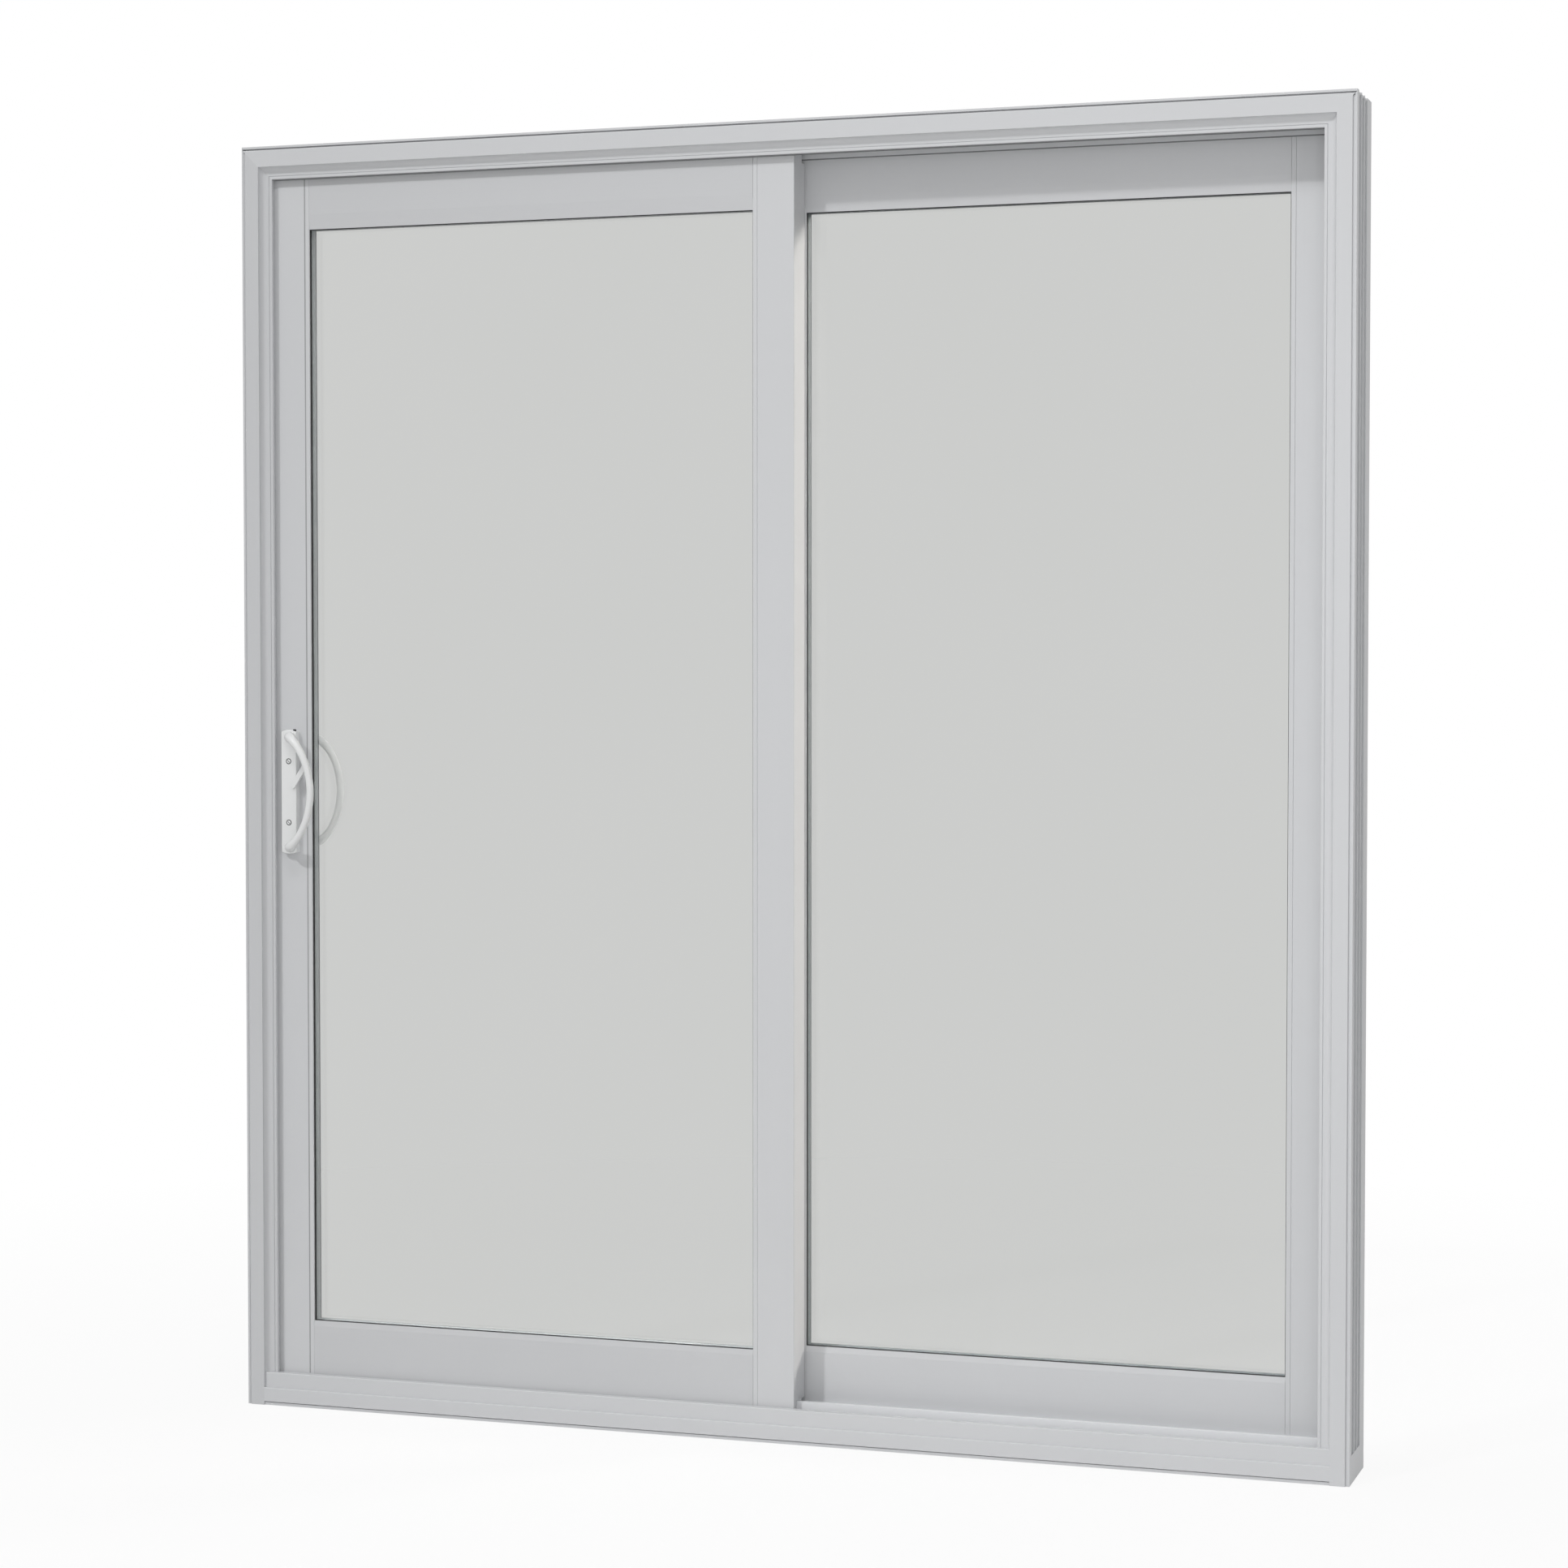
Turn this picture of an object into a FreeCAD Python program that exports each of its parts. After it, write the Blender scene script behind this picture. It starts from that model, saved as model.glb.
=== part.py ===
"""Two-panel glass sliding patio door: a welded vinyl frame, a sliding panel and a fixed panel.

Millimetres. X runs to the right along the sill, Y away from the room, Z up. The origin is the
middle of the sill's underside. The sliding panel is the left one, on the room's side, shown shut.
"""
import FreeCAD, Part
import math
import os
import Sketcher

doc = FreeCAD.newDocument("sliding_patio_door")

# Driving dimensions

SIZES = {
    "frame_width": 1790.7,
    "frame_height": 2032.0,
    "frame_depth": 132.0,
    "border_step": 2.0,
    "border_width": 3.5,
    "kerf_width": 2.5,
    "kerf_depth": 6.0,
    "jamb_face": 29.4,
    "head_extra": 3.3,
    "cove_radius": 10.5,
    "lip_reach": 49.0,
    "lip_wall": 5.5,
    "lip_groove_offset": 4.5,
    "lip_groove_width": 1.2,
    "lip_groove_depth": 1.0,
    "divider_wall": 8.0,
    "flute_start": 18.0,
    "flute_width": 22.7,
    "flute_depth": 2.5,
    "rib_width": 4.0,
    "sill_face": 28.5,
    "sill_top": 53.0,
    "sill_ledge": 4.0,
    "sill_floor": 24.0,
    "sill_seat": 46.0,
    "sill_end": 42.0,
    "track_width": 8.0,
    "track_top": 59.5,
    "panel_thickness": 38.0,
    "panel_clearance": 6.0,
    "panel_pitch": 57.0,
    "panel_edge": 38.0,
    "stile_width": 71.0,
    "meeting_reach": 33.0,
    "meeting_width": 67.0,
    "top_rail_width": 95.0,
    "bottom_rail_width": 92.7,
    "glazing_lip": 3.0,
    "gasket_thickness": 4.0,
    "gasket_lip": 1.0,
    "lite_thickness": 4.0,
    "spacer_depth": 14.0,
    "rebate": 12.0,
    "edge_clearance": 2.0,
    "seam_offset": 7.0,
    "seam_width": 1.0,
    "seam_depth": 0.8,
    "edge_round": 1.2,
    "rail_bevel": 1.5,
    "top_bevel_width": 24.0,
    "bottom_bevel_width": 9.0,
    "bead_bevel": 6.0,
    "interlock_wall": 2.0,
    "interlock_base": 20.0,
    "interlock_lap": 8.0,
    "interlock_gap": 5.0,
    "interlock_end_gap": 7.0,
    "slot_clearance": 5.0,
    "slot_top": 100.0,
    "roller_inset": 110.0,
    "roller_radius": 14.0,
    "roller_width": 7.0,
    "roller_lift": 0.3,
    "roller_cheek": 3.0,
    "roller_length": 70.0,
    "axle_radius": 3.0,
    "axle_fit": 0.2,
    "handle_inset": 73.9,
    "handle_height": 996.5,
    "plate_width": 26.5,
    "plate_length": 200.0,
    "plate_arch": 3.0,
    "plate_thickness": 12.0,
    "plate_chamfer": 1.5,
    "pull_radius": 6.0,
    "pull_foot": 8.4,
    "foot_top": 5.6,
    "foot_height": 6.6,
    "foot_sink": 2.0,
    "pull_shift": 4.0,
    "pull_half_span": 88.0,
    "pull_offset": 46.4,
    "pull_stand": 25.0,
    "lever_offset": 9.2,
    "lever_rise": 10.0,
    "lever_length": 38.0,
    "lever_radius": 4.0,
    "lever_thickness": 4.0,
    "lever_gap": 0.3,
    "lever_angle": 57.0,
    "lock_width": 22.0,
    "lock_length": 160.0,
    "lock_wall": 3.0,
    "keeper_wall": 2.5,
    "keeper_slot_width": 10.0,
    "keeper_slot_length": 60.0,
}


class Size:
    """A number together with the expression that works it out from the sheet."""

    def __init__(self, value, text):
        self.value = float(value)
        self.text = text

    @staticmethod
    def of(other):
        return other if isinstance(other, Size) else Size(other, repr(float(other)))

    def join(self, other, sign, value):
        return Size(value, f"({self.text} {sign} {Size.of(other).text})")

    def __add__(self, other):
        return self.join(other, "+", self.value + Size.of(other).value)

    def __sub__(self, other):
        return self.join(other, "-", self.value - Size.of(other).value)

    def __mul__(self, other):
        return self.join(other, "*", self.value * Size.of(other).value)

    def __truediv__(self, other):
        return self.join(other, "/", self.value / Size.of(other).value)

    def __neg__(self):
        return self * -1

    def __radd__(self, other):
        return Size.of(other) + self

    def __rsub__(self, other):
        return Size.of(other) - self

    def __rmul__(self, other):
        return Size.of(other) * self

    def root(self):
        return Size(math.sqrt(self.value), f"sqrt({self.text})")

    def angle_of_sine(self):
        return Size(math.degrees(math.asin(self.value)), f"asin({self.text})")

    def angle_of_slope(self):
        return Size(math.degrees(math.atan(self.value)), f"atan({self.text})")


def fill_sheet():
    """Write the driving dimensions into an aliased sheet and return them by name."""
    sheet = doc.addObject("Spreadsheet::Sheet", "sizes")
    named = {}
    for row, (name, value) in enumerate(SIZES.items(), start=1):
        sheet.set(f"A{row}", name)
        sheet.set(f"B{row}", str(value))
        sheet.setAlias(f"B{row}", name)
        named[name] = Size(value, f"sizes.{name}")
    doc.recompute()
    return named


class Dimensions:
    """The driving dimensions, one attribute each."""

    def __init__(self, named):
        self.__dict__.update(named)


d = Dimensions(fill_sheet())

# Places worked out from the driving dimensions

half_width = d.frame_width / 2
face = -d.frame_depth / 2
back = d.frame_depth / 2
border = face + d.border_step
strip = face + d.cove_radius
lip_back = strip + d.lip_wall
slide_face = lip_back + d.panel_clearance
slide_back = slide_face + d.panel_thickness
fixed_face = slide_face + d.panel_pitch
fixed_back = fixed_face + d.panel_thickness
divider_front = fixed_face - d.divider_wall
head_lip = d.frame_height - d.lip_reach - d.head_extra
panel_top = d.frame_height - d.panel_edge
panel_outer = half_width - d.panel_edge
glass_outer = panel_outer - d.stile_width
glass_meeting = d.meeting_width - d.meeting_reach
glass_top = panel_top - d.top_rail_width
glass_bottom = d.sill_seat + d.bottom_rail_width
track_middle = slide_face + d.panel_thickness / 2
slot_half = d.track_width / 2 + d.slot_clearance
notch_top = d.track_top + d.slot_clearance
plate_middle = -half_width + d.handle_inset
lite_start = d.glazing_lip + d.gasket_thickness
spacer_start = lite_start + d.lite_thickness
outer_lite_start = spacer_start + d.spacer_depth
bead_start = outer_lite_start + d.lite_thickness

nodes = []


# Building blocks


def bind(thing, **sizes):
    """Bind properties to the sheet; two underscores in a keyword stand for a dot."""
    for name, size in sizes.items():
        thing.setExpression(name.replace("__", "."), Size.of(size).text)


def node(thing, label):
    """Keep an object as a named sub-part."""
    thing.Label = label
    nodes.append(thing)
    return thing


def box(name, low, high):
    """A block between two corners."""
    block = doc.addObject("Part::Box", name)
    bind(block, Placement__Base__x=low[0], Placement__Base__y=low[1], Placement__Base__z=low[2])
    bind(block, Length=Size.of(high[0]) - low[0], Width=Size.of(high[1]) - low[1],
         Height=Size.of(high[2]) - low[2])
    return block


def cylinder(name, start, radius, length):
    """A round bar along the Y axis from a start point."""
    bar = doc.addObject("Part::Cylinder", name)
    turn = FreeCAD.Rotation(FreeCAD.Vector(1, 0, 0), -90)
    bar.Placement = FreeCAD.Placement(FreeCAD.Vector(), turn)
    bind(bar, Placement__Base__x=start[0], Placement__Base__y=start[1], Placement__Base__z=start[2])
    bind(bar, Radius=radius, Height=length)
    return bar


def cut(name, base, *tools):
    """Take the tools away from the base, one after the other."""
    for number, tool in enumerate(tools, start=1):
        step = doc.addObject("Part::Cut", f"{name}_cut_{number}")
        step.Base = base
        step.Tool = tool
        base = step
    return base


def fuse(name, *shapes):
    """Join shapes into one piece."""
    whole = doc.addObject("Part::MultiFuse", name)
    whole.Shapes = list(shapes)
    return whole


def origin_plane(body, role):
    """One of a body's own origin planes."""
    return next(plane for plane in body.Origin.OriginFeatures if plane.Role == role)


def new_sketch(body, name, role, offset=0.0):
    """A sketch on one of the body's origin planes, moved along the plane's normal."""
    sketch = body.newObject("Sketcher::SketchObject", name)
    sketch.AttachmentSupport = [(origin_plane(body, role), "")]
    sketch.MapMode = "FlatFace"
    bind(sketch, AttachmentOffset__Base__z=offset)
    return sketch


def arc_between(start, end, radius, side):
    """The circle arc from start to end; side is 1 with the centre on the left of the way, else -1."""
    chord = end - start
    reach = math.sqrt(max(radius ** 2 - (chord.Length / 2) ** 2, 0.0))
    across = FreeCAD.Vector(-chord.y, chord.x, 0).normalize()
    centre = (start + end) * 0.5 + across * reach * side
    first, last = (start, end) if side > 0 else (end, start)
    angles = [math.atan2(point.y - centre.y, point.x - centre.x) for point in (first, last)]
    circle = Part.Circle(centre, FreeCAD.Vector(0, 0, 1), radius)
    return Part.ArcOfCircle(circle, angles[0], angles[1])


def outline(sketch, corners):
    """Draw a closed outline and tie every corner to the sheet.

    A corner is (u, v), or (u, v, radius, side) where an arc leads on to the next corner.
    """
    places = [FreeCAD.Vector(Size.of(c[0]).value, Size.of(c[1]).value, 0) for c in corners]
    sides = []
    for index, corner in enumerate(corners):
        start, end = places[index], places[(index + 1) % len(corners)]
        if len(corner) == 4:
            shape = arc_between(start, end, Size.of(corner[2]).value, corner[3])
            ends = (1, 2) if corner[3] > 0 else (2, 1)
        else:
            shape = Part.LineSegment(start, end)
            ends = (1, 2)
        sides.append((sketch.addGeometry(shape, False), *ends))
    for index, corner in enumerate(corners):
        before, here = sides[index - 1], sides[index]
        sketch.addConstraint(Sketcher.Constraint("Coincident", before[0], before[2], here[0], here[1]))
        for kind, size in (("DistanceX", corner[0]), ("DistanceY", corner[1])):
            rule = Sketcher.Constraint(kind, -1, 1, here[0], here[1], Size.of(size).value)
            sketch.setExpression(f"Constraints[{sketch.addConstraint(rule)}]", Size.of(size).text)
        if len(corner) == 4:
            rule = Sketcher.Constraint("Radius", here[0], Size.of(corner[2]).value)
            sketch.setExpression(f"Constraints[{sketch.addConstraint(rule)}]", Size.of(corner[2]).text)


PLANE_OF_AXIS = {"X": "YZ_Plane", "Y": "XZ_Plane", "Z": "XY_Plane"}


def prism(name, axis, corners, start, end):
    """A profile carried along an axis from start to end.

    The profile's own axes are Y and Z along X, X and Z along Y, and X and Y along Z.
    """
    body = doc.addObject("PartDesign::Body", name)
    # The XZ plane's normal points along -Y, so a run along Y is laid from its far end.
    offset = -Size.of(end) if axis == "Y" else start
    sketch = new_sketch(body, f"{name}_profile", PLANE_OF_AXIS[axis], offset)
    outline(sketch, corners)
    pad = body.newObject("PartDesign::Pad", f"{name}_pad")
    pad.Profile = sketch
    bind(pad, Length=Size.of(end) - start)
    return body


def ring(name, hole, reach, start, end, flare=0.0):
    """A rectangular ring round a panel's glass opening, with its outside edge reach beyond it.

    The hole widens by flare towards the far face.
    """
    x0, x1, z0, z1 = hole
    whole = box(f"{name}_outside", (x0 - reach, start, z0 - reach), (x1 + reach, end, z1 + reach))
    across = [(x0, start), (x1, start), (x1 + flare, end), (x0 - flare, end)]
    upright = [(start, z0), (end, z0 - flare), (end, z1 + flare), (start, z1)]
    inside = doc.addObject("Part::MultiCommon", f"{name}_inside")
    inside.Shapes = [prism(f"{name}_across", "Z", across, z0 - flare, z1 + flare),
                     prism(f"{name}_upright", "X", upright, x0 - flare, x1 + flare)]
    return cut(name, whole, inside)


# Outer frame


def frame_profile(place, extra, side):
    """The frame's section, from the outside edge inwards, as corners for an outline.

    place turns (reach from the outside edge, depth) into the sketch's own axes, extra widens the
    face, and side says which way round the hollow cove then runs.
    """
    web = d.jamb_face + extra
    lip = d.lip_reach + extra
    kerf = d.border_width + d.kerf_width
    groove = lip - d.lip_groove_offset
    soft = d.edge_round
    corners = [
        (0, border), (d.border_width, border), (d.border_width, border + d.kerf_depth),
        (kerf, border + d.kerf_depth), (kerf, face + soft, soft, -side), (kerf + soft, face),
        (web, face, d.cove_radius, side), (web + d.cove_radius, strip),
        (groove - d.lip_groove_width, strip), (groove - d.lip_groove_width / 2, strip + d.lip_groove_depth),
        (groove, strip), (lip - soft, strip, soft, -side), (lip, strip + soft), (lip, lip_back),
        (web, lip_back), (web, divider_front), (lip, divider_front), (lip, fixed_face),
        (web, fixed_face), (web, fixed_back), (lip, fixed_back), (lip, back), (0, back),
    ]
    for number in (2, 1, 0):
        low = face + d.flute_start + number * (d.flute_width + d.rib_width)
        high = low + d.flute_width
        corners += [(0, high), (d.flute_depth, high), (d.flute_depth, low), (0, low)]
    return [(*place(c[0], c[1]), *c[2:]) for c in corners]


def mitre_wedge(name, side, above):
    """The block above or below the mitre line of one top corner."""
    reach = d.lip_reach * 2
    low = d.frame_height - d.head_extra
    outer = side * half_width
    inner = side * (half_width - reach)
    far = (inner, low) if above else (outer, low - reach)
    corners = [(outer, low), far, (inner, low - reach)]
    return prism(name, "Y", corners, face, back)


def make_frame():
    """Head, two jambs, sill and the rail that the rollers run on."""
    ends = (("left", -1), ("right", 1))
    profile = frame_profile(lambda a, y: (y, d.frame_height - a), d.head_extra, -1)
    head = prism("head_blank", "X", profile, -half_width, half_width)
    wedges = [mitre_wedge(f"head_mitre_{name}", side, False) for name, side in ends]
    node(cut("head", head, *wedges), "head")
    for name, side in ends:
        profile = frame_profile(lambda a, y, s=side: (s * (half_width - a), y), 0, side)
        blank = prism(f"{name}_jamb_blank", "Z", profile, 0, d.frame_height - d.head_extra)
        wedge = mitre_wedge(f"{name}_jamb_mitre", side, True)
        outer = side * half_width
        web = side * (half_width - d.jamb_face)
        inner = side * (half_width - d.lip_reach)
        low, high = (outer, web) if side < 0 else (web, outer)
        foot = box(f"{name}_jamb_foot", (low, strip, 0), (high, back, d.sill_end))
        low, high = (web, inner) if side < 0 else (inner, web)
        cope = box(f"{name}_jamb_cope", (low, face, 0), (high, back, d.sill_top))
        node(cut(f"{name}_jamb", blank, wedge, foot, cope), f"{name}_jamb")
    make_sill()


def make_sill():
    """The sill, with its end blocks under the jambs, and the roller rail on its floor."""
    kerf = d.border_width + d.kerf_width
    ledge = face + d.sill_ledge
    soft = d.edge_round
    corners = [
        (border, 0), (back, 0), (back, d.sill_top), (fixed_back, d.sill_top), (fixed_back, d.sill_seat),
        (fixed_face, d.sill_seat), (fixed_face, d.sill_top), (divider_front, d.sill_top),
        (divider_front, d.sill_floor), (lip_back, d.sill_floor), (lip_back, d.sill_top),
        (ledge + soft, d.sill_top, soft, 1), (ledge, d.sill_top - soft), (ledge, d.sill_face),
        (face + soft, d.sill_face, soft, 1), (face, d.sill_face - soft), (face, kerf),
        (border + d.kerf_depth, kerf), (border + d.kerf_depth, d.border_width), (border, d.border_width),
    ]
    span = half_width - d.jamb_face
    middle = prism("sill_middle", "X", corners, -span, span)
    left = box("sill_left_end", (-half_width, strip, 0), (-span, back, d.sill_end))
    right = box("sill_right_end", (span, strip, 0), (half_width, back, d.sill_end))
    node(fuse("sill", middle, left, right), "sill")
    rail = box("roller_rail", (-span, track_middle - d.track_width / 2, d.sill_floor),
               (span, track_middle + d.track_width / 2, d.track_top))
    node(rail, "roller_rail")


# Panels


def make_panel(name, front, outer_side, slotted):
    """One glazed panel: two stiles, two rails, and the glass unit with its spacer, gasket and bead.

    front is the depth of its room-side face; outer_side is -1 with the jamb on the left.
    """
    rear = front + d.panel_thickness
    lip = front + d.glazing_lip
    outer, sight = outer_side * panel_outer, outer_side * glass_outer
    meeting, meeting_sight = -outer_side * d.meeting_reach, outer_side * glass_meeting
    soft = d.edge_round

    def stile(label, edge, glass, way):
        """An upright whose glass edge lies along way from its outer edge."""
        seam = glass - way * d.seam_offset
        corners = [
            (edge + way * soft, front), (seam - way * d.seam_width, front),
            (seam - way * d.seam_width / 2, front + d.seam_depth), (seam, front),
            (glass - way * soft, front, soft, way), (glass, front + soft), (glass, lip),
            (glass - way * d.rebate, lip), (glass - way * d.rebate, rear), (edge, rear),
            (edge, front + soft, soft, way),
        ]
        return prism(label, "Z", corners, d.sill_seat, panel_top)

    jamb_stile = stile(f"{name}_jamb_stile_blank", outer, sight, -outer_side)
    meeting_stile = stile(f"{name}_meeting_stile_blank", meeting, meeting_sight, outer_side)
    low, high = (sight, meeting_sight) if outer_side < 0 else (meeting_sight, sight)
    ends = (low - d.rebate, high + d.rebate)

    def rail(label, edge, glass, way, bevel_width):
        """A cross member whose glass edge lies along way from its outer edge, lapped to the stiles."""
        corners = [
            (front, edge), (front, glass - way * bevel_width), (front + d.rail_bevel, glass), (lip, glass),
            (lip, glass - way * d.rebate), (rear, glass - way * d.rebate), (rear, edge),
        ]
        blank = prism(f"{label}_blank", "X", corners, *ends)
        bottom, top = (glass, edge) if way < 0 else (edge, glass)
        laps = [box(f"{label}_{end}_lap", (start, front, bottom), (stop, lip, top))
                for end, start, stop in (("left", ends[0], low), ("right", high, ends[1]))]
        return cut(label, blank, *laps)

    top = rail(f"{name}_top_rail", panel_top, glass_top, -1, d.top_bevel_width)
    bottom = rail(f"{name}_bottom_rail", d.sill_seat, glass_bottom, 1, d.bottom_bevel_width)
    if slotted:
        slot, notch = [box(f"{name}_{label}", (-half_width, track_middle - slot_half, d.sill_seat),
                           (half_width, track_middle + slot_half, height))
                       for label, height in (("roller_slot", d.slot_top), ("rail_notch", notch_top))]
        jamb_stile = cut(f"{name}_jamb_stile_notched", jamb_stile, notch)
        meeting_stile = cut(f"{name}_meeting_stile_notched", meeting_stile, notch)
        bottom = cut(f"{name}_bottom_rail_slotted", bottom, slot)
    for piece, label in ((meeting_stile, "meeting_stile"), (top, "top_rail"), (bottom, "bottom_rail")):
        node(piece, f"{name}_{label}")

    hole = (low, high, glass_bottom, glass_top)
    unit = d.rebate - d.edge_clearance
    for label, start in (("inner_lite", lite_start), ("outer_lite", outer_lite_start)):
        lite = box(f"{name}_{label}_pane", (low - unit, front + start, glass_bottom - unit),
                   (high + unit, front + start + d.lite_thickness, glass_top + unit))
        node(lite, f"{name}_{label}")
    proud = d.gasket_lip
    lipped = (low + proud, high - proud, glass_bottom + proud, glass_top - proud)
    gasket = ring(f"{name}_gasket_ring", lipped, unit + proud, lip, front + lite_start)
    node(gasket, f"{name}_gasket")
    spacer = ring(f"{name}_spacer_ring", hole, unit, front + spacer_start, front + outer_lite_start)
    node(spacer, f"{name}_spacer")
    bead = ring(f"{name}_bead_ring", hole, d.rebate, front + bead_start, rear, d.bead_bevel)
    node(bead, f"{name}_glazing_bead")
    return jamb_stile


def make_interlocks():
    """The two hook strips that close the gap between the meeting stiles."""
    wall = d.interlock_wall
    bottom = d.sill_top + d.interlock_end_gap
    top = head_lip - d.interlock_end_gap
    for label, way, base in (("sliding_interlock", 1, slide_back), ("fixed_interlock", -1, fixed_face)):
        edge = way * d.meeting_reach
        hook = base + way * (fixed_face - slide_back - d.interlock_gap)
        corners = [
            (edge - way * d.interlock_base, base), (edge, base), (edge, hook),
            (-way * d.interlock_lap, hook), (-way * d.interlock_lap, hook - way * wall),
            (edge - way * wall, hook - way * wall), (edge - way * wall, base + way * wall),
            (edge - way * d.interlock_base, base + way * wall),
        ]
        node(prism(f"{label}_strip", "Z", corners, bottom, top), label)


# Rollers and lock


def make_rollers():
    """Two rollers on pins in open housings under the bottom rail."""
    housings, wheels = [], []
    axle = d.track_top + d.roller_lift + d.roller_radius
    low = axle - d.roller_radius / 2
    roof = axle + d.roller_radius + d.roller_lift
    half_room = d.roller_width / 2
    half_shell = half_room + d.roller_cheek
    left = -panel_outer + d.roller_inset
    right = d.meeting_reach - d.roller_inset
    for name, middle in (("left", left), ("right", right)):
        start = middle - d.roller_length / 2
        end = middle + d.roller_length / 2
        shell = box(f"{name}_roller_shell", (start, track_middle - half_shell, low),
                    (end, track_middle + half_shell, d.slot_top))
        room = box(f"{name}_roller_room", (start, track_middle - half_room, low),
                   (end, track_middle + half_room, roof))
        pin = cylinder(f"{name}_roller_pin", (middle, track_middle - half_shell, axle),
                       d.axle_radius, half_shell * 2)
        housings.append(fuse(f"{name}_roller_housing", cut(f"{name}_roller_shell_open", shell, room), pin))
        rim = (middle, track_middle - half_room, axle)
        wheel = cylinder(f"{name}_roller_disc", rim, d.roller_radius, d.roller_width)
        bore = cylinder(f"{name}_roller_bore", rim, d.axle_radius + d.axle_fit, d.roller_width)
        wheels.append(cut(f"{name}_roller_wheel", wheel, bore))
    node(fuse("roller_housings_pair", *housings), "roller_housings")
    node(fuse("roller_wheels_pair", *wheels), "roller_wheels")


def make_lock(stile):
    """The lock's face plate, let into the stile's edge, and the keeper on the jamb's web."""

    def strike(name, start, wall, width, length):
        """A thin upright block on the panel's middle line, at the handle's height."""
        return box(name, (start, track_middle - width / 2, d.handle_height - length / 2),
                   (start + wall, track_middle + width / 2, d.handle_height + length / 2))

    edge = -panel_outer
    recess = strike("lock_recess", edge, d.lock_wall, d.lock_width, d.lock_length)
    node(cut("sliding_lock_stile_recessed", stile, recess), "sliding_lock_stile")
    for label, start, wall in (("lock_plate", edge, d.lock_wall),
                               ("lock_keeper", -half_width + d.jamb_face, d.keeper_wall)):
        blank = strike(f"{label}_blank", start, wall, d.lock_width, d.lock_length)
        slot = strike(f"{label}_slot", start, wall, d.keeper_slot_width, d.keeper_slot_length)
        node(cut(f"{label}_slotted", blank, slot), label)


# Handle

# A round bar bent to an arc makes a great many facets; this many flats look as round and make few.
PULL_FLATS = 16


def front_face(shape, way):
    """The name of the flat face that lies furthest along way on the Y axis."""
    faces = [(way * face.CenterOfMass.y, number) for number, face in enumerate(shape.Faces, start=1)
             if abs(face.normalAt(0, 0).y) > 0.99]
    return f"Face{max(faces)[1]}"


def make_plate(label, panel_side, front, way):
    """The handle's plate, with arched ends and a chamfered front."""
    low, high = d.handle_height - d.plate_length / 2, d.handle_height + d.plate_length / 2
    left, right = plate_middle - d.plate_width / 2, plate_middle + d.plate_width / 2
    arch = (d.plate_width * d.plate_width / 4 + d.plate_arch * d.plate_arch) / (2 * d.plate_arch)
    corners = [(left, low + d.plate_arch, arch, 1), (right, low + d.plate_arch),
               (right, high - d.plate_arch, arch, 1), (left, high - d.plate_arch)]
    near, far = (front, panel_side) if way < 0 else (panel_side, front)
    plate = prism(f"{label}_plate", "Y", corners, near, far)
    doc.recompute()
    soften = plate.newObject("PartDesign::Chamfer", f"{label}_plate_chamfer")
    soften.Base = (plate.Group[-2], [front_face(plate.Group[-2].Shape, way)])
    bind(soften, Size=d.plate_chamfer)
    return plate


def make_pull(label, foot, front, way):
    """A bar of many flats bent to one arc, in an upright plane that leans out from the plate."""
    sag = (d.pull_offset * d.pull_offset + d.pull_stand * d.pull_stand).root()
    bend = (d.pull_half_span * d.pull_half_span + sag * sag) / (2 * sag)
    inward = (bend - sag) / sag
    lean = (d.pull_stand / d.pull_offset).angle_of_slope() * way
    pull = doc.addObject("PartDesign::Body", f"{label}_pull")
    section = new_sketch(pull, f"{label}_pull_section", "XY_Plane")
    upright = FreeCAD.Rotation(FreeCAD.Vector(0, 0, 1), lean.value)
    section.AttachmentOffset = FreeCAD.Placement(FreeCAD.Vector(), upright)
    bind(section, AttachmentOffset__Base__x=foot - inward * d.pull_offset,
         AttachmentOffset__Base__y=front - way * inward * d.pull_stand,
         AttachmentOffset__Base__z=d.handle_height, AttachmentOffset__Rotation__Angle=lean)
    angles = [2 * math.pi * (number + 0.5) / PULL_FLATS for number in range(PULL_FLATS)]
    outline(section, [(bend + d.pull_radius * math.cos(angle), d.pull_radius * math.sin(angle))
                      for angle in angles])
    turn = pull.newObject("PartDesign::Revolution", f"{label}_pull_bend")
    turn.Profile = section
    turn.ReferenceAxis = (section, ["V_Axis"])
    turn.Midplane = True
    bind(turn, Angle=2 * (d.pull_half_span / bend).angle_of_sine())
    return pull


def make_foot(name, foot, front, height, way):
    """The tapered boss that carries one end of the pull, let into the plate's front."""
    boss = doc.addObject("Part::Cone", name)
    outward = FreeCAD.Rotation(FreeCAD.Vector(1, 0, 0), -90 * way)
    boss.Placement = FreeCAD.Placement(FreeCAD.Vector(), outward)
    bind(boss, Placement__Base__x=foot, Placement__Base__y=front - way * d.foot_sink,
         Placement__Base__z=height)
    bind(boss, Radius1=d.pull_foot, Radius2=d.foot_top, Height=d.foot_sink + d.foot_height)
    return boss


def make_handle(label, panel_side, way):
    """A cast plate with a bowed pull, on the panel face at panel_side, standing out along way."""
    front = panel_side + way * d.plate_thickness
    foot = plate_middle + d.pull_shift
    plate = make_plate(label, panel_side, front, way)
    pull = make_pull(label, foot, front, way)
    lower = make_foot(f"{label}_lower_foot", foot, front, d.handle_height - d.pull_half_span, way)
    upper = make_foot(f"{label}_upper_foot", foot, front, d.handle_height + d.pull_half_span, way)
    node(fuse(f"{label}_cast", plate, pull, lower, upper), label)


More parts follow.
